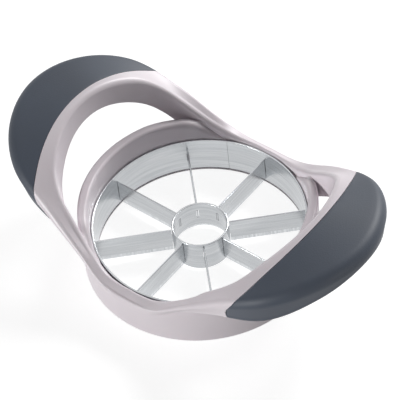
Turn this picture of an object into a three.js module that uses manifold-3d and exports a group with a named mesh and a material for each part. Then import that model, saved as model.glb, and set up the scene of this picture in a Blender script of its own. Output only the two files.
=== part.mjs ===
// A push-down apple slicer: one moulded frame, two soft grips and a stainless blade set.
// Millimetres, +Z up. X runs through the two handles, and the ring stands on z = 0 round the Z axis.

import * as THREE from 'three';
import Module from 'manifold-3d';
import { mergeVertices } from 'three/addons/utils/BufferGeometryUtils.js';

const wasm = await Module();
wasm.setup();

// Blade set
const bladeCount = 8;
const bladeThickness = 0.7;
const bladeHeight = 12.8;
const bladeBottomHeight = 2.0;
const bladeBevelHeight = 2.4;
const bladeEdgeThickness = 0.16;
const tabHeight = 4.2;
const tabCentreHeight = 9.4;
const outerTabReach = 1.9;
const coreTubeRadius = 12.6;
const coreTubeWall = 0.8;
const coreTubeBottomHeight = 1.0;
const coreTubeTopHeight = 16.0;
const coreTubeBevelHeight = 1.8;
const coreTubeEdgeWall = 0.2;
const coreTubeLipRadius = 0.35;
const bandRadius = 47.5;
const bandWall = 0.8;
const bandBottomHeight = 1.6;
const bandTopHeight = 19.2;

// Ring of the frame
const ringWall = 4.7;
const ringEdgeChamfer = 0.6;
const ringSideHeight = 31.0;
const ringTopRounding = 1.4;
const ringBelowRim = 3.4;

// Saddle-shaped rim with the two handle loops.
// Each list of shares goes from the handle's middle round to the low middle of the side,
// in equal angles.
const rimHalfLength = 90.6;
const rimBeyondRing = 0.3;
const rimOutlineShares = [1, 0.911, 0.689, 0.319, 0.096, 0.028, 0];
const rimLowHeight = 17.7;
const rimHighHeight = 57.9;
const rimCrestShares = [1, 0.953, 0.799, 0.53, 0.243, 0.034, 0];
const rimInnerLift = 2.2;
const rimInnerRounding = 2.9;
const crestRoundingFront = 1.8;
const crestRoundingHandle = 5.2;
const sideHeightFront = 5.0;
const sideHeightCorner = 17.8;
const rimSideShares = [0.4, 0.7, 1, 0.66, 0.2, 0.02, 0];
const sideTaper = 3.8;
const lowerRoundingFront = 1.2;
const lowerRoundingHandle = 4.2;
const innerWallHandle = 9.4;
const innerWallStrut = 14.5;
const innerWallDraft = 1.9;

// Finger openings
const loopReach = 59.5;
const loopRadius = 55.3;
const loopCornerRadius = 20.0;
const strutAngle = THREE.MathUtils.degToRad(71.5);

// Soft grips
const gripLineReach = 65.5;
const gripLineRadius = 90.3;
const gripThickness = 2.6;
const gripTipThickness = 1.2;
const gripUnderReach = 9.5;
const gripTipLength = 6.0;
const gripTipRounding = 2.6;
const gripTipBeyond = 2.6;
const gripTipBluntShare = 0.08;

// Ribbed hollow under each handle
const frameWall = 2.6;
const ribThickness = 1.8;
const ribCount = 6;
const hollowEndAngle = THREE.MathUtils.degToRad(36);

// Fits
const clearance = 0.3;
const slotClearance = 0.2;
const overrun = 2.0;

// Facets
const rimStations = 112;
const stationCrowding = 0.12;
const roundFacets = 72;
const arcSteps = 3;
const gripTipStations = 7;
const cellSteps = 4;
const leastStep = 0.003;

const boreRadius = bandRadius + clearance;
const ringRadius = boreRadius + ringWall;
const rimHalfWidth = ringRadius + rimBeyondRing;

const abs = new THREE.MeshStandardMaterial({ name: 'abs_white', color: 0xe9e5e6, roughness: 0.35, metalness: 0 });
const softGrip = new THREE.MeshStandardMaterial({ name: 'grip_grey', color: 0x4a535e, roughness: 0.75, metalness: 0 });
const steel = new THREE.MeshStandardMaterial({ name: 'steel', color: 0xc9cbcd, roughness: 0.25, metalness: 1 });

// Solids and meshes

function solidOf(geometry) {
	const bare = geometry.clone();
	bare.deleteAttribute('normal');
	bare.deleteAttribute('uv');
	const merged = mergeVertices(bare, 1e-5);
	return new wasm.Manifold(new wasm.Mesh({
		numProp: 3,
		vertProperties: new Float32Array(merged.attributes.position.array),
		triVerts: new Uint32Array(merged.index.array),
	}));
}

function geometryOf(solid) {
	const mesh = solid.getMesh();
	const geometry = new THREE.BufferGeometry();
	geometry.setAttribute('position', new THREE.BufferAttribute(mesh.vertProperties, 3));
	geometry.setIndex(new THREE.BufferAttribute(mesh.triVerts, 1));
	geometry.computeVertexNormals();
	return geometry;
}

function meshOf(name, geometry, material) {
	const mesh = new THREE.Mesh(geometry, material);
	mesh.name = name;
	return mesh;
}

// A closed body through equal sections, each a list of points in one order.
// A ring of sections joins its last section to its first, and any other body gets two end caps.
function loft(sections, isRing) {
	const size = sections[0].length;
	const positions = sections.flat().flatMap((point) => point.toArray());
	const indices = [];
	const lastSection = isRing ? sections.length : sections.length - 1;
	for (let i = 0; i < lastSection; i++) {
		const here = i * size;
		const next = ((i + 1) % sections.length) * size;
		for (let j = 0; j < size; j++) {
			const k = (j + 1) % size;
			indices.push(here + j, next + j, next + k);
			indices.push(here + j, next + k, here + k);
		}
	}
	if (!isRing) {
		const flat = (section) => planeCoordinates(section);
		const start = THREE.ShapeUtils.triangulateShape(flat(sections[0]), []);
		const end = THREE.ShapeUtils.triangulateShape(flat(sections[sections.length - 1]), []);
		const offset = (sections.length - 1) * size;
		start.forEach(([a, b, c]) => indices.push(a, b, c));
		end.forEach(([a, b, c]) => indices.push(offset + c, offset + b, offset + a));
	}
	const geometry = new THREE.BufferGeometry();
	geometry.setAttribute('position', new THREE.Float32BufferAttribute(positions, 3));
	geometry.setIndex(indices);
	return geometry;
}

// The radius and height of each point of a section that lies in one plane through the Z axis.
function planeCoordinates(section) {
	return section.map((point) => new THREE.Vector2(Math.hypot(point.x, point.y), point.z));
}

// Turns a list of [radius, height] into points at one angle round the Z axis.
function atAngle(angle, profile) {
	return profile.map(([r, z]) => new THREE.Vector3(r * Math.cos(angle), r * Math.sin(angle), z));
}

// Points of a quarter round from one direction to another, in [radius, height].
function arc(centreR, centreZ, radius, fromAngle, toAngle, steps = arcSteps) {
	const points = [];
	for (let i = 0; i <= steps; i++) {
		const a = fromAngle + (toAngle - fromAngle) * (i / steps);
		points.push([centreR + radius * Math.cos(a), centreZ + radius * Math.sin(a)]);
	}
	return points;
}

// The rim's rails, each a radius or a height at an angle from the X axis

function handleShare(angle) {
	return Math.cos(angle) ** 2;
}

// The angle from the nearer handle's middle, the same on all four quarters of the rim.
function angleFromHandle(angle) {
	return Math.abs(Math.asin(Math.sin(angle)));
}

// A smooth curve through a list of shares, mirrored at both of its ends.
function shareAt(shares, angle) {
	const along = angleFromHandle(angle) / (Math.PI / 2) * (shares.length - 1);
	const i = Math.min(Math.floor(along), shares.length - 2);
	const f = along - i;
	const before = shares[Math.abs(i - 1)];
	const after = shares[i + 2] ?? shares[shares.length - 2];
	const slopeStart = (shares[i + 1] - before) / 2;
	const slopeEnd = (after - shares[i]) / 2;
	const rise = shares[i + 1] - shares[i];
	return shares[i] + slopeStart * f + (3 * rise - 2 * slopeStart - slopeEnd) * f ** 2
		+ (slopeStart + slopeEnd - 2 * rise) * f ** 3;
}

function outerRadius(angle) {
	return THREE.MathUtils.lerp(rimHalfWidth, rimHalfLength, shareAt(rimOutlineShares, angle));
}

function crestHeight(angle) {
	return THREE.MathUtils.lerp(rimLowHeight, rimHighHeight, shareAt(rimCrestShares, angle));
}

function sideHeight(angle) {
	return THREE.MathUtils.lerp(sideHeightFront, sideHeightCorner, shareAt(rimSideShares, angle));
}

// The side leans in toward its foot beside each strut, and not at the handle's middle.
function taperAt(angle) {
	return sideTaper * Math.sin(2 * angle) ** 2;
}

// The distance from the Z axis to a circle whose centre is on the X axis, on the handle's own side.
function circleRadius(angle, reach, radius) {
	const centre = reach - radius;
	const along = centre * Math.abs(Math.cos(angle));
	return along + Math.sqrt(radius ** 2 - centre ** 2 * Math.sin(angle) ** 2);
}

// The inner edge follows the bore, leaves it on a tangent along each strut, and goes round the loop.
// A round corner joins the strut to the loop.
function innerRadius(angle) {
	const fromHandle = angleFromHandle(angle);
	if (fromHandle >= strutAngle) return boreRadius;
	const strut = boreRadius / Math.cos(strutAngle - fromHandle);
	const loop = circleRadius(angle, loopReach, loopRadius);
	const corner = cornerRadius(fromHandle);
	return corner ?? Math.min(strut, loop);
}

// The corner's centre lies one corner radius inside the strut's edge and inside the loop.
const cornerCentre = (() => {
	const along = new THREE.Vector2(Math.cos(strutAngle), Math.sin(strutAngle));
	const level = boreRadius - loopCornerRadius;
	const loopCentre = new THREE.Vector2(loopReach - loopRadius, 0);
	const offset = level - loopCentre.dot(along);
	const reach = Math.sqrt((loopRadius - loopCornerRadius) ** 2 - offset ** 2);
	return loopCentre.addScaledVector(along, offset).add(new THREE.Vector2(along.y, -along.x).multiplyScalar(reach));
})();

const cornerSpan = (() => {
	const strutEnd = cornerCentre.clone().add(
		new THREE.Vector2(Math.cos(strutAngle), Math.sin(strutAngle)).multiplyScalar(loopCornerRadius));
	const loopCentre = new THREE.Vector2(loopReach - loopRadius, 0);
	const outward = cornerCentre.clone().sub(loopCentre).setLength(loopCornerRadius);
	const loopEnd = cornerCentre.clone().add(outward);
	return [loopEnd.angle(), strutEnd.angle()];
})();

function cornerRadius(fromHandle) {
	const [start, end] = cornerSpan;
	if (fromHandle <= start || fromHandle >= end) return null;
	const along = cornerCentre.x * Math.cos(fromHandle) + cornerCentre.y * Math.sin(fromHandle);
	return along + Math.sqrt(along ** 2 - cornerCentre.lengthSq() + loopCornerRadius ** 2);
}

function blend(front, handle, angle, power) {
	return front + (handle - front) * handleShare(angle) ** power;
}

// The rim's section at one angle, in [radius, height]
function rimSection(angle) {
	const inner = innerRadius(angle);
	const outer = outerRadius(angle);
	const crest = crestHeight(angle);
	const lift = rimInnerLift * Math.sin(angle) ** 4;
	const innerEdge = inner + innerWallDraft * Math.abs(Math.cos(angle));
	const crestRounding = blend(crestRoundingFront, crestRoundingHandle, angle, 1.5);
	const lowerRounding = blend(lowerRoundingFront, lowerRoundingHandle, angle, 1.5);
	const side = sideHeight(angle);
	const taper = taperAt(angle);
	const innerWall = blend(innerWallStrut, innerWallHandle, angle, 3);
	const quarter = Math.PI / 2;
	const innerTop = crest + lift;
	return [
		[inner, innerTop - innerWall],
		...arc(outer - taper - lowerRounding, crest - side + lowerRounding, lowerRounding, -quarter, 0),
		...arc(outer - crestRounding, crest - crestRounding, crestRounding, 0, quarter),
		...arc(innerEdge + rimInnerRounding, innerTop - rimInnerRounding, rimInnerRounding, quarter, 2 * quarter),
	];
}

function stationAngles(from, to, count) {
	return Array.from({ length: count + 1 }, (_, i) => from + (to - from) * (i / count));
}

// Stations all round, closer together at the four corners of the rim.
const rimAngles = stationAngles(0, 2 * Math.PI, rimStations).slice(0, -1)
	.map((angle) => angle + stationCrowding * Math.sin(4 * angle));

function makeRim() {
	return solidOf(loft(rimAngles.map((angle) => atAngle(angle, rimSection(angle))), true));
}

// The ring stands inside the rim at front and back, and is a free wall beside the two openings.
function ringSection(angle) {
	const quarter = Math.PI / 2;
	const top = Math.min(ringSideHeight, crestHeight(angle) - ringBelowRim);
	const ledge = bandBottomHeight - clearance;
	const r = ringTopRounding;
	return [
		[bandRadius - bandWall, 0],
		[ringRadius - ringEdgeChamfer, 0],
		[ringRadius, ringEdgeChamfer],
		...arc(ringRadius - r, top - r, r, 0, quarter),
		...arc(boreRadius + r, top - r, r, quarter, 2 * quarter),
		[boreRadius, ledge],
		[bandRadius - bandWall, ledge],
	];
}

function makeRing() {
	return solidOf(loft(rimAngles.map((angle) => atAngle(angle, ringSection(angle))), true));
}

// Grips

// The angle at which the grip's edge line runs out over the crest of the rim.
const gripTipAngle = (() => {
	let low = 0;
	let high = strutAngle;
	for (let i = 0; i < 40; i++) {
		const middle = (low + high) / 2;
		if (circleRadius(middle, gripLineReach, gripLineRadius) < outerRadius(middle)) low = middle;
		else high = middle;
	}
	return low;
})();
const gripEndAngle = gripTipAngle + gripTipBeyond / outerRadius(gripTipAngle);
const gripCloseAngle = gripEndAngle - gripTipLength / outerRadius(gripTipAngle);
const gripRoundAngle = gripEndAngle - gripTipRounding / outerRadius(gripTipAngle);

function lengthsAlong(profile) {
	const lengths = [0];
	for (let i = 1; i < profile.length; i++) {
		const [r0, z0] = profile[i - 1];
		const [r1, z1] = profile[i];
		lengths.push(lengths[i - 1] + Math.hypot(r1 - r0, z1 - z0));
	}
	return lengths;
}

function pointAlong(profile, lengths, length) {
	let i = 1;
	while (i < profile.length - 1 && lengths[i] < length) i++;
	const share = (length - lengths[i - 1]) / (lengths[i] - lengths[i - 1]);
	return profile[i].map((value, axis) => profile[i - 1][axis] + (value - profile[i - 1][axis]) * share);
}

// How far one edge of a grip has closed in, from 0 at an angle to nearly 1 at the grip's end.
function closing(fromAngle, begin, power) {
	const past = THREE.MathUtils.clamp((fromAngle - begin) / (gripEndAngle - begin), 0, 1);
	return 1 - Math.max((1 - past ** power) ** (1 / power), gripTipBluntShare);
}

// The stretch of the rim's section that a grip covers, from its edge on top to its edge underneath.
// Near the tips the lower edge closes in first and the top edge last, which gives the grip its round end.
function gripStretch(angle) {
	const section = rimSection(angle);
	const skin = section.slice(0, -(arcSteps + 1)).reverse();
	const inner = section[section.length - 1 - arcSteps];
	skin.unshift(inner);
	const lengths = lengthsAlong(skin);
	const total = lengths[lengths.length - 1];
	const crestEnd = THREE.MathUtils.lerp(lengths[1], lengths[1 + arcSteps], 0.75);
	const edge = circleRadius(angle, gripLineReach, gripLineRadius);
	const onTop = (edge - skin[0][0]) / (skin[1][0] - skin[0][0]) * lengths[1];
	const underneath = Math.min(gripUnderReach, (total - lengths[2 * arcSteps + 2]) / 2) * handleShare(angle) ** 2;
	const fromAngle = Math.abs(angle);
	const start = Math.min(onTop, crestEnd);
	const end = lengths[2 * arcSteps + 2] + underneath;
	const middle = THREE.MathUtils.lerp(crestEnd, end, 0.4);
	return {
		skin,
		lengths,
		start: THREE.MathUtils.lerp(start, middle, closing(fromAngle, gripRoundAngle, 2)),
		end: THREE.MathUtils.lerp(end, middle, closing(fromAngle, gripCloseAngle, 2.6)),
	};
}

// The points of a stretch lie on the corners of the rim's section, so the grip is flush with the rim.
// Corners outside the stretch are drawn in beside its ends.
function stretchLengths({ lengths, start, end }) {
	const corners = [start, ...lengths.slice(1, -1), end];
	const last = corners.length - 1;
	return corners.map((length, i) => (
		THREE.MathUtils.clamp(length, start + i * leastStep, end - (last - i) * leastStep)));
}

// One grip section: along the outside at one outset, and back along the inside at one depth.
// A margin widens it at both ends.
function gripSection(angle, outset, depth, margin) {
	const stretch = gripStretch(angle);
	const { skin, lengths } = stretch;
	const along = stretchLengths(stretch);
	const outside = [];
	const inside = [];
	along.forEach((length, i) => {
		const point = pointAlong(skin, lengths, length);
		const before = pointAlong(skin, lengths, length - clearance);
		const after = pointAlong(skin, lengths, length + clearance);
		const run = Math.hypot(after[0] - before[0], after[1] - before[1]);
		const [tangentR, tangentZ] = [(after[0] - before[0]) / run, (after[1] - before[1]) / run];
		const isFirst = i === 0;
		const isLast = i === along.length - 1;
		const widen = isFirst ? -margin : isLast ? margin : 0;
		const r = point[0] + tangentR * widen;
		const z = point[1] + tangentZ * widen;
		const raised = [r - tangentZ * outset, z + tangentR * outset];
		if (outset > 0 && isFirst) outside.push([r, z]);
		outside.push(raised);
		if (outset > 0 && isLast) outside.push([r, z]);
		inside.unshift([r + tangentZ * depth, z - tangentR * depth]);
	});
	return atAngle(angle, [...outside, ...inside].reverse());
}

function gripDepth(angle, extra) {
	const share = THREE.MathUtils.clamp(Math.abs(angle) / gripEndAngle, 0, 1);
	return THREE.MathUtils.lerp(gripThickness, gripTipThickness, share ** 2) + extra;
}

// The rim's own stations between the two tips, and closer ones round each tip's end.
const gripAngles = (() => {
	const between = rimAngles.map((angle) => (angle > Math.PI ? angle - 2 * Math.PI : angle))
		.filter((angle) => Math.abs(angle) < gripCloseAngle - leastStep)
		.sort((a, b) => a - b);
	const tip = Array.from({ length: gripTipStations }, (_, i) => (
		gripCloseAngle + (gripEndAngle - gripCloseAngle) * Math.sin((i + 1) / gripTipStations * Math.PI / 2)));
	return [
		...tip.map((angle) => -angle).reverse(),
		-gripCloseAngle,
		...between,
		gripCloseAngle,
		...tip,
	];
})();

function makeGrip() {
	return solidOf(loft(gripAngles.map((angle) => gripSection(angle, 0, gripDepth(angle, 0), 0)), false));
}

function makeGripPocket() {
	const reach = gripEndAngle + clearance / outerRadius(gripEndAngle);
	return solidOf(loft([-reach, ...gripAngles, reach].map((angle) => (
		gripSection(angle, overrun, gripDepth(angle, clearance), clearance))), false));
}

// The hollow under a handle is a row of cells with a rib left between each two.
function hollowSection(angle) {
	const section = rimSection(angle);
	const top = crestHeight(angle) - gripDepth(angle, clearance) - frameWall;
	const outer = outerRadius(angle) - taperAt(angle);
	const inner = Math.max(innerRadius(angle) + innerWallDraft / 2, ringRadius) + frameWall;
	const under = Math.max(gripUnderReach * handleShare(angle) ** 2, gripDepth(angle, clearance)) + frameWall;
	const side = Math.max(outer - under, inner + ribThickness);
	const bottom = Math.min(...section.map(([, z]) => z)) - overrun;
	return [
		[inner, bottom],
		[side, bottom],
		[side, top],
		[inner, top],
	];
}

function makeHollowCells() {
	const cells = [];
	const pitch = 2 * hollowEndAngle / (ribCount + 1);
	for (let i = 0; i <= ribCount; i++) {
		const start = -hollowEndAngle + i * pitch;
		const middle = start + pitch / 2;
		const halfRib = ribThickness / 2 / innerRadius(middle);
		const angles = stationAngles(start + halfRib, start + pitch - halfRib, cellSteps);
		cells.push(solidOf(loft(angles.map((angle) => atAngle(angle, hollowSection(angle))), false)));
	}
	return cells;
}

// Blade set

function turned(solid, angle) {
	return solid.rotate([0, 0, THREE.MathUtils.radToDeg(angle)]);
}

function block(fromX, toX, width, centreZ, height) {
	const geometry = new THREE.BoxGeometry(toX - fromX, width, height);
	geometry.translate((fromX + toX) / 2, 0, centreZ);
	return solidOf(geometry);
}

// The slots that let each blade's tabs through the core tube and the band into the ring's wall.
function tabSlots(fromRadius, toRadius) {
	const width = bladeThickness + 2 * slotClearance;
	const height = tabHeight + 2 * slotClearance;
	const slot = block(fromRadius, toRadius, width, tabCentreHeight, height);
	return Array.from({ length: bladeCount }, (_, i) => turned(slot, i * 2 * Math.PI / bladeCount));
}

function makeBlade() {
	const half = bladeThickness / 2;
	const edge = bladeEdgeThickness / 2;
	const top = bladeBottomHeight + bladeHeight;
	const bevel = bladeBottomHeight + bladeBevelHeight;
	const shape = new THREE.Shape();
	shape.moveTo(-edge, bladeBottomHeight);
	shape.lineTo(edge, bladeBottomHeight);
	shape.lineTo(half, bevel);
	shape.lineTo(half, top);
	shape.lineTo(-half, top);
	shape.lineTo(-half, bevel);
	const start = coreTubeRadius + slotClearance;
	const end = bandRadius - bandWall - slotClearance;
	const body = new THREE.ExtrudeGeometry(shape, { depth: end - start, bevelEnabled: false });
	body.rotateX(Math.PI / 2);
	body.rotateZ(Math.PI / 2);
	body.translate(start, 0, 0);
	const tabs = block(coreTubeRadius - coreTubeWall, bandRadius + outerTabReach, bladeThickness,
		tabCentreHeight, tabHeight);
	return solidOf(body).add(tabs);
}

function makeCoreTube() {
	const inner = coreTubeRadius - coreTubeWall;
	const lip = coreTubeLipRadius;
	const profile = [
		[coreTubeRadius - coreTubeEdgeWall, coreTubeBottomHeight],
		[coreTubeRadius, coreTubeBottomHeight],
		[coreTubeRadius, coreTubeTopHeight - lip],
		[coreTubeRadius - lip, coreTubeTopHeight],
		[inner + lip, coreTubeTopHeight],
		[inner, coreTubeTopHeight - lip],
		[inner, coreTubeBottomHeight + coreTubeBevelHeight],
	];
	const points = [...profile, profile[0]].map(([r, z]) => new THREE.Vector2(r, z));
	const tube = solidOf(new THREE.LatheGeometry(points, roundFacets).rotateX(Math.PI / 2));
	return tabSlots(inner - overrun, coreTubeRadius + overrun).reduce((solid, slot) => solid.subtract(slot), tube);
}

function makeBand() {
	const inner = bandRadius - bandWall;
	const profile = [
		[inner, bandBottomHeight],
		[bandRadius, bandBottomHeight],
		[bandRadius, bandTopHeight],
		[inner, bandTopHeight],
	];
	const points = [...profile, profile[0]].map(([r, z]) => new THREE.Vector2(r, z));
	const band = solidOf(new THREE.LatheGeometry(points, roundFacets).rotateX(Math.PI / 2));
	return tabSlots(inner - overrun, bandRadius + overrun).reduce((solid, slot) => solid.subtract(slot), band);
}

// The frame is the rim and the ring in one moulding, less the pockets for what it carries.
function makeFrame() {
	const cuts = [];
	const pocket = makeGripPocket();
	const cells = makeHollowCells();
	for (const angle of [0, Math.PI]) {
		cuts.push(turned(pocket, angle), ...cells.map((cell) => turned(cell, angle)));
	}
	cuts.push(...tabSlots(bandRadius, bandRadius + outerTabReach + slotClearance));
	return cuts.reduce((solid, cut) => solid.subtract(cut), makeRim().add(makeRing()));
}

const slicer = new THREE.Group();
slicer.name = 'apple_slicer';
slicer.add(meshOf('frame', geometryOf(makeFrame()), abs));

const grip = makeGrip();
slicer.add(meshOf('grip_right', geometryOf(grip), softGrip.clone()));
slicer.add(meshOf('grip_left', geometryOf(turned(grip, Math.PI)), softGrip.clone()));
slicer.add(meshOf('blade_band', geometryOf(makeBand()), steel));
slicer.add(meshOf('core_tube', geometryOf(makeCoreTube()), steel.clone()));

const bladeGeometry = geometryOf(makeBlade());
for (let i = 0; i < bladeCount; i++) {
	const blade = meshOf(`blade_${i + 1}`, bladeGeometry, steel.clone());
	blade.rotation.z = i * 2 * Math.PI / bladeCount;
	slicer.add(blade);
}

export default slicer;
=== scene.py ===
import math

import bpy
import bmesh
from mathutils import Matrix, Vector


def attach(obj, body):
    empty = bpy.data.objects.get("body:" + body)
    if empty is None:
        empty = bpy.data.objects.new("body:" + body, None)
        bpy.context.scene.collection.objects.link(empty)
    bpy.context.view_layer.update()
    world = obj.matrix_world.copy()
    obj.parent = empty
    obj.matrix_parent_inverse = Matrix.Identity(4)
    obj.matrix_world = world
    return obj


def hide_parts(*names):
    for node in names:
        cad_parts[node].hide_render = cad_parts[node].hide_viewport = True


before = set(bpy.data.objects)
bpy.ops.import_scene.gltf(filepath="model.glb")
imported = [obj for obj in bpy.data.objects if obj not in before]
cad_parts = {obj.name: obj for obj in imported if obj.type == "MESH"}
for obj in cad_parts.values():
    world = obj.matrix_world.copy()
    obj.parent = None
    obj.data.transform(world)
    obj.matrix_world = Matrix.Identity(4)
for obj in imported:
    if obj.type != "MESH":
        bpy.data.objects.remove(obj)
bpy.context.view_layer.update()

# Camera
# It stands a metre off with a long lens, at the photograph's azimuth, elevation and small roll.
# All lengths in this file are millimetres, until MM makes them metres in a mesh, a place or a node.
MM = 0.001
AZIMUTH = math.radians(43.06)
ELEVATION = math.radians(48.2)
ROLL = math.radians(7.05)
DISTANCE = 1048.0
ACROSS = -1.34
UPWARD = -21.01
LENS = 213.3
SENSOR = 36
CLIP_START = 100
CLIP_END = 20000

forward = -Vector((
    math.sin(AZIMUTH) * math.cos(ELEVATION),
    -math.cos(AZIMUTH) * math.cos(ELEVATION),
    math.sin(ELEVATION),
))
level_right = Vector((math.cos(AZIMUTH), math.sin(AZIMUTH), 0))
level_up = level_right.cross(forward)
right = level_right * math.cos(ROLL) - level_up * math.sin(ROLL)
up = level_right * math.sin(ROLL) + level_up * math.cos(ROLL)
place = -forward * DISTANCE - level_right * ACROSS - level_up * UPWARD

camera_data = bpy.data.cameras.new("camera")
camera_data.lens = LENS
camera_data.sensor_width = SENSOR
camera_data.clip_start = CLIP_START * MM
camera_data.clip_end = CLIP_END * MM
camera = bpy.data.objects.new("camera", camera_data)
camera.matrix_world = Matrix((
    (right.x, up.x, -forward.x, place.x * MM),
    (right.y, up.y, -forward.y, place.y * MM),
    (right.z, up.z, -forward.z, place.z * MM),
    (0, 0, 0, 1),
))
bpy.context.scene.collection.objects.link(camera)
bpy.context.scene.camera = camera

# Moulded frame
# One injection moulding in white ABS: the ring that stands on the table, the saddle rim on it, and the two
# loop handles with ribbed hollows underneath. The steel is pressed into its bore, and the soft grips are
# moulded over the outside of its handles.

# Satin moulded ABS
# Off-white with a faint pink warmth. The mould's fine grain dulls it to satin, slow flow marks shift its tint
# and gloss a little, and thin edges let some light through.
FLOW_MARK = 38.46
MOULD_GRAIN = 0.5263
MOULD_GRAIN_DEPTH = 0.06


def linear(hex_colour):
    """Turns a colour, written as the hex that it shows, into linear light."""
    channels = []
    for i in (0, 2, 4):
        value = int(hex_colour[i:i + 2], 16) / 255
        channels.append(value / 12.92 if value <= 0.04045 else ((value + 0.055) / 1.055) ** 2.4)
    return (*channels, 1)


def add_node(tree, kind, settings=None, links=None):
    """Adds a node. Settings go to inputs by name or number, to a ramp's stops, or to the node itself."""
    node = tree.nodes.new(kind)
    for name, value in (settings or {}).items():
        if name == "stops":
            for stop, (position, colour) in zip(node.color_ramp.elements, value):
                stop.position = position
                stop.color = linear(colour)
        elif isinstance(name, int) or name in node.inputs:
            node.inputs[name].default_value = value
        else:
            setattr(node, name, value)
    for name, socket in (links or {}).items():
        tree.links.new(socket, node.inputs[name])
    return node


def new_material(name):
    """A material with its node tree, its shader, and the Object coordinates for its patterns."""
    material = bpy.data.materials.new(name)
    material.use_nodes = True
    tree = material.node_tree
    coordinates = add_node(tree, "ShaderNodeTexCoord")
    return material, tree, tree.nodes["Principled BSDF"], coordinates.outputs["Object"]


moulded_abs, tree, shader, spot = new_material("satin_moulded_abs")
flow = add_node(tree, "ShaderNodeTexNoise",
                {"Scale": 1 / (FLOW_MARK * MM), "Detail": 3.0, "Roughness": 0.6}, {"Vector": spot})
tint = add_node(tree, "ShaderNodeValToRGB", {"stops": ((0.3, "e8dfe5"), (0.7, "eee6eb"))},
                {"Fac": flow.outputs["Fac"]})
tree.links.new(tint.outputs["Color"], shader.inputs["Base Color"])
satin = add_node(tree, "ShaderNodeMapRange", {"To Min": 0.3, "To Max": 0.44}, {"Value": flow.outputs["Fac"]})
tree.links.new(satin.outputs["Result"], shader.inputs["Roughness"])
grain = add_node(tree, "ShaderNodeTexNoise",
                 {"Scale": 1 / (MOULD_GRAIN * MM), "Detail": 2.0}, {"Vector": spot})
skin = add_node(tree, "ShaderNodeBump", {"Strength": 0.1, "Distance": MOULD_GRAIN_DEPTH * MM},
                {"Height": grain.outputs["Fac"]})
tree.links.new(skin.outputs["Normal"], shader.inputs["Normal"])
shader.inputs["Subsurface Weight"].default_value = 0.06
shader.inputs["Subsurface Radius"].default_value = (1.6 * MM, 1.2 * MM, 1.2 * MM)
shader.inputs["IOR"].default_value = 1.5

# Sizes of the ring and the rim
# Each row of shares gives a size at even steps, from the middle of a handle to the front or the back.
RING_RADIUS = 52.5
BAND_RADIUS = 47.5
BORE_RADIUS = 47.8
HALF_LENGTH = 90.6
HALF_WIDTH = 52.8
OUTLINE_SHARES = (1, 0.911, 0.689, 0.319, 0.096, 0.028, 0)
LOW_HEIGHT = 17.7
HIGH_HEIGHT = 57.9
CREST_SHARES = (1, 0.953, 0.799, 0.53, 0.243, 0.034, 0)
SIDE_FRONT = 5.0
SIDE_CORNER = 17.8
SIDE_SHARES = (0.4, 0.7, 1, 0.66, 0.2, 0.02, 0)
SIDE_TAPER = 3.8
INNER_LIFT = 2.2
INNER_DRAFT = 1.9
LOOP_REACH = 59.5
LOOP_RADIUS = 55.3
LOOP_CORNER = 20.0
STRUT_ANGLE = math.radians(71.5)
STRUT_MIDDLE = math.radians(54)
STRUT_SPAN = math.radians(30)
STRUT_LEAN = 2.6
LEAN_ROUNDING = 0.3
QUARTER = math.pi / 2
# Each of these has its size at the front and the back, its size at a handle, and the power of the change.
CREST_ROUND = (1.1, 5.2, 1.5)
LOWER_ROUND = (1.2, 4.2, 1.5)
INNER_WALL = (16.0, 9.4, 3)
INNER_ROUND = (1.2, 2.9, 0.6)


def from_handle(angle):
    """The angle from the nearest handle's middle: 0 there, and a quarter turn at the front and the back."""
    return abs(math.asin(max(-1, min(1, math.sin(angle)))))


def share_at(shares, angle):
    """The share at an angle, on a smooth curve through the row."""
    along = from_handle(angle) / QUARTER * (len(shares) - 1)
    i = min(int(along), len(shares) - 2)
    f = along - i
    before = shares[abs(i - 1)]
    after = shares[i + 2] if i + 2 < len(shares) else shares[-2]
    start = (shares[i + 1] - before) / 2
    end = (after - shares[i]) / 2
    rise = shares[i + 1] - shares[i]
    return shares[i] + start * f + (3 * rise - 2 * start - end) * f ** 2 + (start + end - 2 * rise) * f ** 3


def mix(low, high, share):
    return low + (high - low) * share


def blend(size, angle):
    """A size between its value at the front and that at a handle. A high power keeps it near the first."""
    front, handle, power = size
    return mix(front, handle, (math.cos(angle) ** 2) ** power)


def outer_radius(angle):
    return mix(HALF_WIDTH, HALF_LENGTH, share_at(OUTLINE_SHARES, angle))


def crest_height(angle):
    return mix(LOW_HEIGHT, HIGH_HEIGHT, share_at(CREST_SHARES, angle))


def circle_radius(angle, reach, radius):
    """How far out a circle lies at an angle. Its far side is at reach along the handle's direction."""
    centre = reach - radius
    along = centre * abs(math.cos(angle))
    return along + math.sqrt(radius ** 2 - centre ** 2 * math.sin(angle) ** 2)


def loop_corner():
    """The centre of the round between strut and loop, and the angles at which it starts and ends."""
    normal = Vector((math.cos(STRUT_ANGLE), math.sin(STRUT_ANGLE)))
    loop_centre = Vector((LOOP_REACH - LOOP_RADIUS, 0))
    offset = BORE_RADIUS - LOOP_CORNER - loop_centre.dot(normal)
    reach = math.sqrt((LOOP_RADIUS - LOOP_CORNER) ** 2 - offset ** 2)
    centre = loop_centre + normal * offset + Vector((normal.y, -normal.x)) * reach
    loop_end = centre + (centre - loop_centre).normalized() * LOOP_CORNER
    strut_end = centre + normal * LOOP_CORNER
    return centre, math.atan2(loop_end.y, loop_end.x), math.atan2(strut_end.y, strut_end.x)


CORNER_CENTRE, CORNER_START, CORNER_END = loop_corner()


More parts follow.
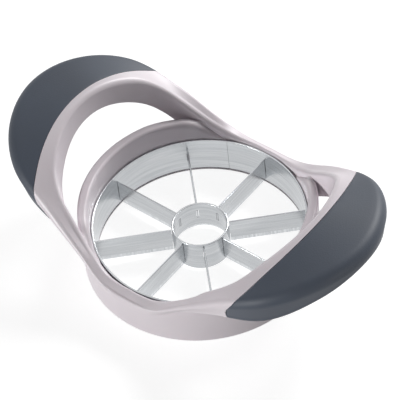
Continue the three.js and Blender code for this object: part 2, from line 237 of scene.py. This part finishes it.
def inner_radius(angle):
    """The rim's inner edge: the bore, a straight strut that leaves it on a tangent, a corner and the loop."""
    away = from_handle(angle)
    if away >= STRUT_ANGLE:
        return BORE_RADIUS
    if CORNER_START < away < CORNER_END:
        along = CORNER_CENTRE.x * math.cos(away) + CORNER_CENTRE.y * math.sin(away)
        return along + math.sqrt(along ** 2 - CORNER_CENTRE.length_squared + LOOP_CORNER ** 2)
    strut = BORE_RADIUS / math.cos(STRUT_ANGLE - away)
    return min(strut, circle_radius(angle, LOOP_REACH, LOOP_RADIUS))


def inner_draft(angle):
    """How far the inner wall leans out from its foot to its top."""
    return INNER_DRAFT * abs(math.cos(angle))


def side_taper(angle):
    """How far the outer side draws in from the crest to its foot, on the struts."""
    return SIDE_TAPER * math.sin(2 * angle) ** 2


def strut_lean(angle):
    """How far the inner edge of a strut's top lies below its crest."""
    off_middle = (from_handle(angle) - STRUT_MIDDLE) / STRUT_SPAN
    return STRUT_LEAN * max(1 - off_middle ** 2, 0) ** 2


def arc(r, z, width, start, end, steps=10, height=None):
    """Points of a round, as (radius from the axis, height). Its height is its width, unless it is given."""
    turns = [mix(start, end, i / steps) for i in range(steps + 1)]
    return [(r + width * math.cos(turn), z + (height or width) * math.sin(turn)) for turn in turns]


def line(start, end, steps):
    """The points between two corners, without the corners."""
    return [(mix(start[0], end[0], i / steps), mix(start[1], end[1], i / steps)) for i in range(1, steps)]


# How many steps each stretch of the rim's skin has, and the numbers of the points where the stretches meet.
TOP_STEPS = 8
ROUND_STEPS = 10
SIDE_STEPS = 6
CREST_START = TOP_STEPS
CREST_END = CREST_START + ROUND_STEPS
UNDER_START = CREST_END + SIDE_STEPS + ROUND_STEPS


def rim_skin(angle):
    """The rim's outside at one angle, from the inner edge of its top over the crest and side to its
    underside, and the round inside that edge."""
    inner = inner_radius(angle)
    outer = outer_radius(angle)
    crest = crest_height(angle)
    lean = strut_lean(angle)
    top = crest + INNER_LIFT * math.sin(angle) ** 4 - lean
    edge = inner + inner_draft(angle)
    side = mix(SIDE_FRONT, SIDE_CORNER, share_at(SIDE_SHARES, angle))
    crest_round = blend(CREST_ROUND, angle)
    lower_round = blend(LOWER_ROUND, angle)
    inner_round = blend(INNER_ROUND, angle) + LEAN_ROUNDING * lean
    inner_top = (edge + inner_round, top)
    inner_foot = (inner, top - blend(INNER_WALL, angle))
    over = arc(outer - crest_round, crest - crest_round, crest_round, QUARTER, 0, ROUND_STEPS)
    under = arc(outer - side_taper(angle) - lower_round, crest - side + lower_round, lower_round,
                0, -QUARTER, ROUND_STEPS)
    skin = [
        inner_top,
        *line(inner_top, over[0], TOP_STEPS),
        *over,
        *line(over[-1], under[0], SIDE_STEPS),
        *under,
        *line(under[-1], inner_foot, TOP_STEPS),
        inner_foot,
    ]
    rounding = arc(edge + inner_round, top - inner_round, inner_round, 2 * QUARTER, QUARTER, ROUND_STEPS)
    return skin, rounding[:-1]


# Outline of the grips
# The frame has a shallow pocket for each grip, so their outline comes here. On top a grip's edge is a circle
# seen from above. It runs out over the crest to a round tip, and the grip turns in a little underneath.
GRIP_REACH = 65.5
GRIP_RADIUS = 90.3
GRIP_THICKNESS = 2.6
GRIP_TIP_THICKNESS = 1.2
GRIP_UNDER = 9.5
GRIP_TIP_LENGTH = 6.0
GRIP_TIP_ROUNDING = 2.6
GRIP_TIP_BEYOND = 2.6
GRIP_TIP_HEIGHT = 0.4
GRIP_ON_CREST = 0.75
GRIP_GAP = 0.12
UPPER_EDGE_POWER = 2
LOWER_EDGE_POWER = 2.6
HALVINGS = 40
SLOPE_REACH = 0.3


def tip_angle():
    """The angle at which the circle of the grip's edge crosses the rim's outline, found by halving."""
    low, high = 0, STRUT_ANGLE
    for _ in range(HALVINGS):
        middle = (low + high) / 2
        if circle_radius(middle, GRIP_REACH, GRIP_RADIUS) < outer_radius(middle):
            low = middle
        else:
            high = middle
    return low


TIP_ANGLE = tip_angle()
GRIP_END = TIP_ANGLE + GRIP_TIP_BEYOND / outer_radius(TIP_ANGLE)
CLOSE_ANGLE = GRIP_END - GRIP_TIP_LENGTH / outer_radius(TIP_ANGLE)
ROUND_ANGLE = GRIP_END - GRIP_TIP_ROUNDING / outer_radius(TIP_ANGLE)


def run_lengths(skin):
    """The length along the skin from its start to each of its points."""
    lengths = [0]
    for (r0, z0), (r1, z1) in zip(skin, skin[1:]):
        lengths.append(lengths[-1] + math.hypot(r1 - r0, z1 - z0))
    return lengths


def point_at(skin, lengths, length):
    """The point at a length along the skin."""
    i = 1
    while i < len(skin) - 1 and lengths[i] < length:
        i += 1
    share = (length - lengths[i - 1]) / (lengths[i] - lengths[i - 1])
    return mix(skin[i - 1][0], skin[i][0], share), mix(skin[i - 1][1], skin[i][1], share)


def inset_point(skin, lengths, length, depth):
    """The point at a length along the skin and a depth below it, square to the skin."""
    r, z = point_at(skin, lengths, length)
    if depth == 0:
        return r, z
    before = point_at(skin, lengths, length - SLOPE_REACH)
    after = point_at(skin, lengths, length + SLOPE_REACH)
    run = math.hypot(after[0] - before[0], after[1] - before[1])
    return r + (after[1] - before[1]) / run * depth, z - (after[0] - before[0]) / run * depth


def closing(away, begin, power):
    """How far one edge of the grip has closed in, from 0 at an angle to 1 at the grip's end."""
    past = min(max((away - begin) / (GRIP_END - begin), 0), 1)
    return 1 - (1 - past ** power) ** (1 / power)


def grip_depth(angle):
    return mix(GRIP_THICKNESS, GRIP_TIP_THICKNESS, min(from_handle(angle) / GRIP_END, 1) ** 2)


def grip_stretch(angle, skin, lengths):
    """Where the grip starts and ends along the skin. Past the grip's end the stretch is empty."""
    away = from_handle(angle)
    crest_end = mix(lengths[CREST_START], lengths[CREST_END], GRIP_ON_CREST)
    edge = circle_radius(angle, GRIP_REACH, GRIP_RADIUS)
    on_top = (edge - skin[0][0]) / (skin[CREST_START][0] - skin[0][0]) * lengths[CREST_START]
    under_start = lengths[UNDER_START]
    spare = (lengths[-1] - under_start) / 2
    start = min(on_top, crest_end)
    end = under_start + min(GRIP_UNDER, spare) * math.cos(angle) ** 4
    middle = mix(crest_end, end, GRIP_TIP_HEIGHT)
    upper = closing(away, ROUND_ANGLE, UPPER_EDGE_POWER)
    lower = closing(away, CLOSE_ANGLE, LOWER_EDGE_POWER)
    return mix(start, middle, upper), mix(end, middle, lower)


def clamped(values, low, high):
    return [min(max(value, low), high) for value in values]


def rim_section(angle):
    """The rim's closed section, with its skin dropped into the shallow pocket under a grip."""
    skin, rounding = rim_skin(angle)
    lengths = run_lengths(skin)
    start, end = grip_stretch(angle, skin, lengths)
    is_gripped = from_handle(angle) < GRIP_END and end - start > 4 * GRIP_GAP
    low, high = (start - GRIP_GAP, end + GRIP_GAP) if is_gripped else (end, end)
    pocket = grip_depth(angle) + GRIP_GAP if is_gripped else 0
    before = [point_at(skin, lengths, length) for length in clamped(lengths, 0, low)]
    floor = [inset_point(skin, lengths, length, pocket) for length in clamped(lengths, low, high)]
    after = [point_at(skin, lengths, length) for length in clamped(lengths, high, lengths[-1])]
    return [*rounding, *before, *floor, *after]


# Lofts
# Sections at a row of angles are joined by quads. A ring of sections closes on itself. Points that lie closer
# than the weld are made one, and so are the two ends of a sliver.
WELD = 0.002
SLIVER = 0.0001
CUT_WELD = 0.005


def at_angle(angle, profile):
    return [(r * math.cos(angle), r * math.sin(angle), z) for r, z in profile]


def add_loft(mesh, sections, is_ring, caps=False):
    rows = [[mesh.verts.new(Vector(point) * MM) for point in section] for section in sections]
    count = len(rows)
    size = len(rows[0])
    for i in range(count if is_ring else count - 1):
        here, there = rows[i], rows[(i + 1) % count]
        for j in range(size):
            k = (j + 1) % size
            mesh.faces.new((here[j], here[k], there[k], there[j]))
    if caps:
        mesh.faces.new(rows[0])
        mesh.faces.new(rows[-1][::-1])


def shade(data, sharp):
    """Smooth shading, with a sharp edge wherever two faces meet at more than an angle in degrees."""
    data.shade_smooth()
    data.set_sharp_from_angle(angle=math.radians(sharp))


def finish_mesh(mesh, name, material, sharp=40):
    """Welds doubled points, turns the faces outward and makes a smooth-shaded object."""
    bmesh.ops.remove_doubles(mesh, verts=mesh.verts, dist=WELD * MM)
    bmesh.ops.dissolve_degenerate(mesh, dist=SLIVER * MM, edges=mesh.edges)
    bmesh.ops.recalc_face_normals(mesh, faces=mesh.faces)
    data = bpy.data.meshes.new(name)
    mesh.to_mesh(data)
    mesh.free()
    data.materials.append(material)
    shade(data, sharp)
    piece = bpy.data.objects.new(name, data)
    bpy.context.scene.collection.objects.link(piece)
    return piece


def evaluated_mesh(piece):
    bpy.context.view_layer.update()
    return bpy.data.meshes.new_from_object(piece.evaluated_get(bpy.context.evaluated_depsgraph_get()))


def combine(piece, other, operation):
    """Cuts one object by another, or joins them, and welds the points and slivers that this leaves."""
    modifier = piece.modifiers.new("combine", "BOOLEAN")
    modifier.operation = operation
    modifier.object = other
    modifier.solver = "EXACT"
    result = evaluated_mesh(piece)
    mesh = bmesh.new()
    mesh.from_mesh(result)
    bmesh.ops.remove_doubles(mesh, verts=mesh.verts, dist=CUT_WELD * MM)
    bmesh.ops.dissolve_degenerate(mesh, dist=CUT_WELD * MM, edges=mesh.edges)
    mesh.to_mesh(result)
    mesh.free()
    piece.modifiers.clear()
    piece.data = result
    bpy.data.objects.remove(other)


# Stations round the rim stand closer together at its four corners and at the grips' tips.
STATIONS = 288
CROWDING = 0.12
TIP_STATIONS = 12
even = [2 * math.pi * i / STATIONS for i in range(STATIONS)]
rim_angles = [angle + CROWDING * math.sin(4 * angle) for angle in even]
for i in range(TIP_STATIONS + 1):
    tip = mix(CLOSE_ANGLE, GRIP_END, math.sin(i / TIP_STATIONS * QUARTER))
    rim_angles.extend((tip, math.pi - tip, math.pi + tip, 2 * math.pi - tip))
rim_angles.sort()

body = bmesh.new()
add_loft(body, [at_angle(angle, rim_section(angle)) for angle in rim_angles], True)
frame_piece = finish_mesh(body, "moulded_frame", moulded_abs)


# Turned copies
# One node tree turns copies of a shape round the axis and makes them one mesh. It repeats the hollows of the
# two handles here, then the slots for the blades' tabs, and the blades themselves.


def turned_copies_tree():
    tree = bpy.data.node_groups.new("turned_copies", "GeometryNodeTree")
    tree.interface.new_socket("Geometry", in_out="INPUT", socket_type="NodeSocketGeometry")
    tree.interface.new_socket("Count", in_out="INPUT", socket_type="NodeSocketInt")
    tree.interface.new_socket("Material", in_out="INPUT", socket_type="NodeSocketMaterial")
    tree.interface.new_socket("Geometry", in_out="OUTPUT", socket_type="NodeSocketGeometry")
    given = add_node(tree, "NodeGroupInput")
    points = add_node(tree, "GeometryNodeMeshLine", {"Offset": (0, 0, 0)}, {"Count": given.outputs["Count"]})
    order = add_node(tree, "GeometryNodeInputIndex")
    step = add_node(tree, "ShaderNodeMath", {"operation": "DIVIDE", 0: 2 * math.pi},
                    {1: given.outputs["Count"]})
    turn = add_node(tree, "ShaderNodeMath", {"operation": "MULTIPLY"},
                    {0: order.outputs["Index"], 1: step.outputs["Value"]})
    turn_z = add_node(tree, "ShaderNodeCombineXYZ", links={"Z": turn.outputs["Value"]})
    copies = add_node(tree, "GeometryNodeInstanceOnPoints", links={
        "Points": points.outputs["Mesh"],
        "Instance": given.outputs["Geometry"],
        "Rotation": turn_z.outputs["Vector"],
    })
    real = add_node(tree, "GeometryNodeRealizeInstances", links={"Geometry": copies.outputs["Instances"]})
    finished = add_node(tree, "GeometryNodeSetMaterial",
                        links={"Geometry": real.outputs["Geometry"], "Material": given.outputs["Material"]})
    add_node(tree, "NodeGroupOutput", links={"Geometry": finished.outputs["Geometry"]})
    return tree


copies_tree = turned_copies_tree()


def turn_copies(piece, count, material):
    """Runs the node tree on a piece, and makes the result its plain mesh."""
    modifier = piece.modifiers.new("copies", "NODES")
    modifier.node_group = copies_tree
    sizes = {"Count": count, "Material": material}
    for socket in copies_tree.interface.items_tree:
        if socket.name in sizes:
            modifier[socket.identifier] = sizes[socket.name]
    result = evaluated_mesh(piece)
    piece.modifiers.clear()
    piece.data = result


# Hollows under the handles keep the walls thin, and the ribs left between them keep the handles stiff.
RIB_COUNT = 6
HOLLOW_END = math.radians(36)
HOLLOW_STEPS = 8
HOLLOW_ROUNDING = 1.2
RIB = 1.8
WALL = 2.6
GRIP_ROOM = 0.3


def hollow_section(angle):
    """A hollow's section, from the table up to the wall under the grip and the rim's skin."""
    depth = grip_depth(angle) + GRIP_ROOM
    under = max(GRIP_UNDER * math.cos(angle) ** 4, depth) + WALL
    inner = max(inner_radius(angle) + INNER_DRAFT / 2, RING_RADIUS) + WALL
    outer = max(outer_radius(angle) - side_taper(angle) - under, inner + RIB)
    top = crest_height(angle) - depth - WALL
    ease = min(HOLLOW_ROUNDING, (outer - inner) / 3)
    return [
        (inner, 0),
        (outer, 0),
        (outer, top - ease),
        (outer - ease, top),
        (inner + ease, top),
        (inner, top - ease),
    ]


pitch = 2 * HOLLOW_END / (RIB_COUNT + 1)
body = bmesh.new()
for i in range(RIB_COUNT + 1):
    start = -HOLLOW_END + i * pitch
    half_rib = RIB / 2 / inner_radius(start + pitch / 2)
    shares = [step / HOLLOW_STEPS for step in range(HOLLOW_STEPS + 1)]
    angles = [mix(start + half_rib, start + pitch - half_rib, share) for share in shares]
    add_loft(body, [at_angle(angle, hollow_section(angle)) for angle in angles], False, True)
hollows = finish_mesh(body, "hollows", moulded_abs)
turn_copies(hollows, 2, moulded_abs)
combine(frame_piece, hollows, "DIFFERENCE")

# The ring
# It stands on the table and carries the rim. The steel band is seated on a small ledge inside its foot.
RING_TOP = 31.0
RING_BELOW_CREST = 3.4
RING_CORNER_SPAN = 5
RING_CORNER_DROP = 1.25
RING_ROUNDING = 1.4
RING_FOOT_ROUNDING = 0.6
RING_SLOPE = 3.0
RING_LEAN_DROP = 0.8
RING_LEAN_ROUNDING = 0.35
LEDGE_NONE = 2.0
LEDGE_SPAN = 2.7
LEAST_ROUND = 1.0
LOWEST_BORE_EDGE = 19.5
SEAT_HEIGHT = 1.3
SEAT_WIDTH = 0.8
SEAT_ROUNDING = 0.3


def ring_section(angle):
    """The top slopes up to the rim's wall where that stands close to the bore, so no ledge shows between."""
    lean = strut_lean(angle)
    below_crest = crest_height(angle) - RING_BELOW_CREST
    near = max(1 - abs(RING_TOP - below_crest) / RING_CORNER_SPAN, 0)
    drop = RING_LEAN_DROP * lean
    top = min(RING_TOP, below_crest) - RING_CORNER_DROP * near ** 2 - drop
    ledge = inner_radius(angle) + inner_draft(angle) - BORE_RADIUS
    free = min(max((ledge - LEDGE_NONE) / LEDGE_SPAN, 0), 1)
    slope = RING_SLOPE * (1 - free ** 2 * (3 - 2 * free))
    high = top - RING_ROUNDING + slope
    low = max(top - RING_ROUNDING - slope - drop, min(top - LEAST_ROUND, LOWEST_BORE_EDGE))
    width = RING_ROUNDING + RING_LEAN_ROUNDING * lean
    seat = BAND_RADIUS - SEAT_WIDTH
    return [
        (seat + SEAT_ROUNDING, 0),
        *arc(RING_RADIUS - RING_FOOT_ROUNDING, RING_FOOT_ROUNDING, RING_FOOT_ROUNDING, -QUARTER, 0, 4),
        *line((RING_RADIUS, RING_FOOT_ROUNDING), (RING_RADIUS, high), 12),
        *arc(RING_RADIUS - RING_ROUNDING, high, RING_ROUNDING, 0, QUARTER, 8),
        *arc(BORE_RADIUS + width, low, width, QUARTER, 2 * QUARTER, 8, top - low),
        *line((BORE_RADIUS, low), (BORE_RADIUS, SEAT_HEIGHT), 6),
        (BORE_RADIUS, SEAT_HEIGHT),
        (seat, SEAT_HEIGHT),
        (seat, SEAT_ROUNDING),
    ]


body = bmesh.new()
add_loft(body, [at_angle(angle, ring_section(angle)) for angle in rim_angles], True)
combine(frame_piece, finish_mesh(body, "ring", moulded_abs), "UNION")

# Pockets in the ring's wall take the ends of the blades' tabs.
BLADES = 8
TAB_HEIGHT = 4.2
TAB_CENTRE = 9.4
TAB_REACH = 1.9
SLOT_GAP = 0.2
HALF_SLOT = 0.55
SLOT_START = 46.0


def add_block(mesh, x, y, z, turn=0):
    """A block between two values of each of x, y and z, turned round the axis."""
    corners = [(a, b, c) for a in x for b in y for c in z]
    ca, sa = math.cos(turn), math.sin(turn)
    verts = [mesh.verts.new(Vector((a * ca - b * sa, a * sa + b * ca, c)) * MM) for a, b, c in corners]
    for face in ((0, 1, 3, 2), (4, 6, 7, 5), (0, 4, 5, 1), (2, 3, 7, 6), (0, 2, 6, 4), (1, 5, 7, 3)):
        mesh.faces.new([verts[i] for i in face])


def tab_cutter(near, far, material):
    """The space for all the blades' tabs, between two distances from the axis."""
    mesh = bmesh.new()
    low = TAB_CENTRE - TAB_HEIGHT / 2 - SLOT_GAP
    high = TAB_CENTRE + TAB_HEIGHT / 2 + SLOT_GAP
    add_block(mesh, (near, far), (-HALF_SLOT, HALF_SLOT), (low, high))
    cutter = finish_mesh(mesh, "tab_cutter", material)
    turn_copies(cutter, BLADES, material)
    return cutter


combine(frame_piece, tab_cutter(SLOT_START, BAND_RADIUS + TAB_REACH + SLOT_GAP, moulded_abs), "DIFFERENCE")
shade(frame_piece.data, sharp=40)
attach(frame_piece, "root")
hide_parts("frame")

# Soft grips
# Two shells of thermoplastic rubber, moulded over the outside of the handles. Each follows the rim's skin and
# lies flush in its pocket, with a softly rounded edge along the seam.

# Stippled soft rubber
# Dark blue-grey and dull, with a fine stipple from the mould, and a little paler where hands have
# polished it.
POLISHED_PATCH = 29.41
STIPPLE = 0.6667
STIPPLE_DEPTH = 0.1
soft_rubber, tree, shader, spot = new_material("stippled_soft_rubber")
cloud = add_node(tree, "ShaderNodeTexNoise",
                 {"Scale": 1 / (POLISHED_PATCH * MM), "Detail": 4.0, "Roughness": 0.55}, {"Vector": spot})
tint = add_node(tree, "ShaderNodeValToRGB", {"stops": ((0.3, "373e4a"), (0.72, "3e4653"))},
                {"Fac": cloud.outputs["Fac"]})
tree.links.new(tint.outputs["Color"], shader.inputs["Base Color"])
dull = add_node(tree, "ShaderNodeMapRange", {"To Min": 0.5, "To Max": 0.62}, {"Value": cloud.outputs["Fac"]})
tree.links.new(dull.outputs["Result"], shader.inputs["Roughness"])
stipple = add_node(tree, "ShaderNodeTexVoronoi", {"Scale": 1 / (STIPPLE * MM)}, {"Vector": spot})
skin = add_node(tree, "ShaderNodeBump", {"Strength": 0.25, "Distance": STIPPLE_DEPTH * MM},
                {"Height": stipple.outputs["Distance"]})
tree.links.new(skin.outputs["Normal"], shader.inputs["Normal"])
shader.inputs["Sheen Weight"].default_value = 0.04
shader.inputs["Sheen Roughness"].default_value = 0.5

GRIP_EDGE = 0.5
EDGE_STEPS = (0, 0.1, 0.25, 0.45, 0.7, 1)
LAST_STATION_GAP = 0.004


def edge_drop(length, start, end, radius):
    """How far the rounded edge falls away near the two ends of the grip's stretch."""
    near = min(length - start, end - length)
    if near >= radius:
        return 0
    return radius - math.sqrt(max(radius ** 2 - (radius - max(near, 0)) ** 2, 0))


def grip_section(angle):
    skin, _ = rim_skin(angle)
    lengths = run_lengths(skin)
    start, end = grip_stretch(angle, skin, lengths)
    depth = grip_depth(angle)
    radius = min(GRIP_EDGE, depth / 3, (end - start) / 2)
    edge = [radius * share for share in EDGE_STEPS]
    along = sorted([start + step for step in edge] + [end - step for step in edge]
                   + clamped(lengths, start + radius, end - radius))
    outside = [inset_point(skin, lengths, length, edge_drop(length, start, end, radius)) for length in along]
    inside = [inset_point(skin, lengths, length, depth) for length in along]
    return [*outside, *reversed(inside)]


grip_angles = sorted([angle - 2 * math.pi if angle > math.pi else angle for angle in rim_angles
                      if from_handle(angle) < GRIP_END - LAST_STATION_GAP and math.cos(angle) > 0])
for name, turn in (("grip_right", 0), ("grip_left", math.pi)):
    body = bmesh.new()
    add_loft(body, [at_angle(angle + turn, grip_section(angle)) for angle in grip_angles], False, True)
    grip = finish_mesh(body, name + "_cover", soft_rubber)
    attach(grip, "root")
    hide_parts(name)

# Blade band
# A thin strip of stainless steel, rolled to a hoop with a butt seam at the back and pressed into the ring's
# bore, down to the ledge. Its top edge is eased, and its slots hold the outer tabs of the blades.

# Stainless steel
# Cold-rolled strip is bright, with fine lines along the rolling direction and a slow variation in gloss.
# Ground edges are brighter, with short lines up the bevel. Real lines are finer than a tenth of a millimetre,
# and are drawn as coarse as they need to show.
STEEL_LINE = 1.1111
STEEL_LINE_DEPTH = 0.04
GLOSS_PATCH = 25.0


def stainless_steel(name, colours, roughness, lay):
    """A steel with its dark and bright colour, its range of roughness, and its lay, which stretches the lines
    along the directions where it is small."""
    material, tree, shader, spot = new_material(name)
    laid = add_node(tree, "ShaderNodeMapping", {"Scale": lay}, {"Vector": spot})
    lines = add_node(tree, "ShaderNodeTexNoise", {"Scale": 1 / (STEEL_LINE * MM), "Detail": 3.0},
                     {"Vector": laid.outputs["Vector"]})
    tone = add_node(tree, "ShaderNodeValToRGB", {"stops": ((0.3, colours[0]), (0.7, colours[1]))},
                    {"Fac": lines.outputs["Fac"]})
    tree.links.new(tone.outputs["Color"], shader.inputs["Base Color"])
    drift = add_node(tree, "ShaderNodeTexNoise", {"Scale": 1 / (GLOSS_PATCH * MM), "Detail": 2.0},
                     {"Vector": spot})
    rough = add_node(tree, "ShaderNodeMapRange", {"To Min": roughness[0], "To Max": roughness[1]},
                     {"Value": drift.outputs["Fac"]})
    tree.links.new(rough.outputs["Result"], shader.inputs["Roughness"])
    ridges = add_node(tree, "ShaderNodeBump", {"Strength": 0.16, "Distance": STEEL_LINE_DEPTH * MM},
                      {"Height": lines.outputs["Fac"]})
    tree.links.new(ridges.outputs["Normal"], shader.inputs["Normal"])
    shader.inputs["Metallic"].default_value = 1
    return material


rolled_steel = stainless_steel("cold_rolled_stainless", ("bcbfc2", "cdcfd1"), (0.19, 0.31), (0.04, 0.04, 1))
ground_steel = stainless_steel("ground_stainless", ("c2c5c8", "dcdee0"), (0.11, 0.23), (1, 1, 0.06))

BAND_THICKNESS = 0.8
BAND_BOTTOM = 1.6
BAND_EASED_AT = 19.0
BAND_EASING = 0.2
BAND_SLOT_END = 48.5
SEAM_ANGLE = math.radians(112.5)
HALF_SEAM = 0.06
SEAM_THROUGH = (46.62, 47.6)
SEAM_HEIGHTS = (1.0, 20.0)


def add_turned(mesh, profile, steps=192):
    """A profile turned round the axis."""
    add_loft(mesh, [at_angle(2 * math.pi * i / steps, profile) for i in range(steps)], True)


body = bmesh.new()
band_inside = BAND_RADIUS - BAND_THICKNESS
add_turned(body, [
    (band_inside, BAND_BOTTOM),
    (BAND_RADIUS, BAND_BOTTOM),
    (BAND_RADIUS, BAND_EASED_AT),
    *arc(BAND_RADIUS - BAND_EASING, BAND_EASED_AT, BAND_EASING, 0, QUARTER, 4),
    *arc(band_inside + BAND_EASING, BAND_EASED_AT, BAND_EASING, QUARTER, 2 * QUARTER, 4),
])
band_piece = finish_mesh(body, "band_hoop", rolled_steel)
combine(band_piece, tab_cutter(SLOT_START, BAND_SLOT_END, rolled_steel), "DIFFERENCE")
body = bmesh.new()
add_block(body, SEAM_THROUGH, (-HALF_SEAM, HALF_SEAM), SEAM_HEIGHTS, SEAM_ANGLE)
combine(band_piece, finish_mesh(body, "seam", rolled_steel), "DIFFERENCE")
shade(band_piece.data, sharp=40)
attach(band_piece, "root")
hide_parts("blade_band")

# Coring tube
# Drawn stainless tube with a rolled upper lip and a bevel ground inside its lower edge. The blades' inner
# tabs hold it in the middle, through slots in its wall.
TUBE_RADIUS = 12.6
TUBE_INSIDE = 11.8
TUBE_EDGE_RADIUS = 12.4
TUBE_BOTTOM = 1.0
TUBE_BEVEL_TOP = 2.8
TUBE_LIP_AT = 15.65
TUBE_LIP = 0.35
TUBE_SLOT = (10.0, 13.5)
TUBE_STEPS = 128
BEVEL_MARGIN = 0.05
body = bmesh.new()
add_turned(body, [
    (TUBE_EDGE_RADIUS, TUBE_BOTTOM),
    (TUBE_RADIUS, TUBE_BOTTOM),
    (TUBE_RADIUS, TUBE_LIP_AT),
    *arc(TUBE_RADIUS - TUBE_LIP, TUBE_LIP_AT, TUBE_LIP, 0, QUARTER, 5),
    *arc(TUBE_INSIDE + TUBE_LIP, TUBE_LIP_AT, TUBE_LIP, QUARTER, 2 * QUARTER, 5),
    (TUBE_INSIDE, TUBE_BEVEL_TOP),
], TUBE_STEPS)
tube_piece = finish_mesh(body, "coring_tube", rolled_steel, sharp=20)
combine(tube_piece, tab_cutter(*TUBE_SLOT, rolled_steel), "DIFFERENCE")
shade(tube_piece.data, sharp=30)
tube_piece.data.materials.append(ground_steel)
for face in tube_piece.data.polygons:
    is_facing_down = face.normal.z < -0.1
    if face.center.z < (TUBE_BEVEL_TOP - BEVEL_MARGIN) * MM and is_facing_down:
        face.material_index = 1
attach(tube_piece, "root")
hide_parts("core_tube")

# Blades
# Eight strips stamped from the same sheet, with a bevel ground on both sides of the lower edge, eased upper
# corners, and a tab at each end. The node tree turns one blade round the axis eight times.
HALF_THICKNESS = 0.35
HALF_CUTTING_EDGE = 0.08
BLADE_BOTTOM = 2.0
BEVEL_TOP = 4.4
BLADE_TOP = 14.8
EASED_DOWN = 0.18
EASED_IN = 0.12
BLADE_STATIONS = (12.8, 13.0, 20, 30, 40, 46.3, 46.5)
TAB_ENDS = (11.8, 49.4)
profile = [
    (-HALF_CUTTING_EDGE, BLADE_BOTTOM),
    (HALF_CUTTING_EDGE, BLADE_BOTTOM),
    (HALF_THICKNESS, BEVEL_TOP),
    (HALF_THICKNESS, BLADE_TOP - EASED_DOWN),
    (HALF_THICKNESS - EASED_IN, BLADE_TOP),
    (-HALF_THICKNESS + EASED_IN, BLADE_TOP),
    (-HALF_THICKNESS, BLADE_TOP - EASED_DOWN),
    (-HALF_THICKNESS, BEVEL_TOP),
]
body = bmesh.new()
add_loft(body, [[(x, y, z) for y, z in profile] for x in BLADE_STATIONS], False, True)
star = finish_mesh(body, "blade_star", rolled_steel, sharp=20)
body = bmesh.new()
add_block(body, TAB_ENDS, (-HALF_THICKNESS, HALF_THICKNESS),
          (TAB_CENTRE - TAB_HEIGHT / 2, TAB_CENTRE + TAB_HEIGHT / 2))
combine(star, finish_mesh(body, "tabs", rolled_steel), "UNION")
shade(star.data, sharp=20)
turn_copies(star, BLADES, rolled_steel)
star.data.materials.append(ground_steel)
for face in star.data.polygons:
    if face.center.z < (BEVEL_TOP - BEVEL_MARGIN) * MM:
        face.material_index = 1
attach(star, "root")
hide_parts(*[f"blade_{i + 1}" for i in range(BLADES)])

# Floor and light
# A plain pale floor under a white studio. A broad soft lamp stands behind and to the right, so faces that
# look that way are bright and faces that look to the left are dull. Low lamps fill the ring's front.
FLOOR_HALF = 4000
FLOOR_LIFT = 0.85
AMBIENT = 0.02


def seen_share(tree):
    """1 for rays that show the background itself, and 0 for those that only carry its light."""
    rays = add_node(tree, "ShaderNodeLightPath")
    seen = add_node(tree, "ShaderNodeMath", {"operation": "ADD", "use_clamp": True},
                    {0: rays.outputs["Is Camera Ray"], 1: rays.outputs["Is Glossy Ray"]})
    more = add_node(tree, "ShaderNodeMath", {"operation": "ADD", "use_clamp": True},
                    {0: seen.outputs["Value"], 1: rays.outputs["Is Transmission Ray"]})
    return more.outputs["Value"]


floor_material, tree, shader, spot = new_material("matt_floor")
shader.inputs["Base Color"].default_value = linear("a8a8a8")
shader.inputs["Roughness"].default_value = 0.9
shader.inputs["Specular IOR Level"].default_value = 0.1
shader.inputs["Emission Color"].default_value = (1, 1, 1, 1)
lift = add_node(tree, "ShaderNodeMath", {"operation": "MULTIPLY", 1: FLOOR_LIFT}, {0: seen_share(tree)})
tree.links.new(lift.outputs["Value"], shader.inputs["Emission Strength"])
body = bmesh.new()
for x, y in ((-1, -1), (1, -1), (1, 1), (-1, 1)):
    body.verts.new(Vector((x, y, 0)) * FLOOR_HALF * MM)
body.faces.new(body.verts)
floor = finish_mesh(body, "floor", floor_material)

world = bpy.data.worlds.new("studio")
world.use_nodes = True
bpy.context.scene.world = world
background = world.node_tree.nodes["Background"]
background.inputs["Color"].default_value = (1, 1, 1, 1)
level = add_node(world.node_tree, "ShaderNodeMapRange", {"To Min": AMBIENT, "To Max": 1.0},
                 {"Value": seen_share(world.node_tree)})
world.node_tree.links.new(level.outputs["Result"], background.inputs["Strength"])

# Each lamp is a round soft one that looks at the origin, with its place, its width and its power in watts.
for name, at, width, power in (
    ("key", (40, 1310, 920), 800, 24),
    ("low_left", (-380, -1540, 220), 350, 16),
    ("low_right", (1580, -50, 220), 350, 3),
):
    lamp = bpy.data.lights.new(name, "AREA")
    lamp.shape = "DISK"
    lamp.size = width * MM
    lamp.energy = power
    holder = bpy.data.objects.new(name, lamp)
    holder.location = Vector(at) * MM
    holder.rotation_euler = Vector(at).to_track_quat("Z", "Y").to_euler()
    bpy.context.scene.collection.objects.link(holder)

bpy.context.scene.view_settings.view_transform = "Standard"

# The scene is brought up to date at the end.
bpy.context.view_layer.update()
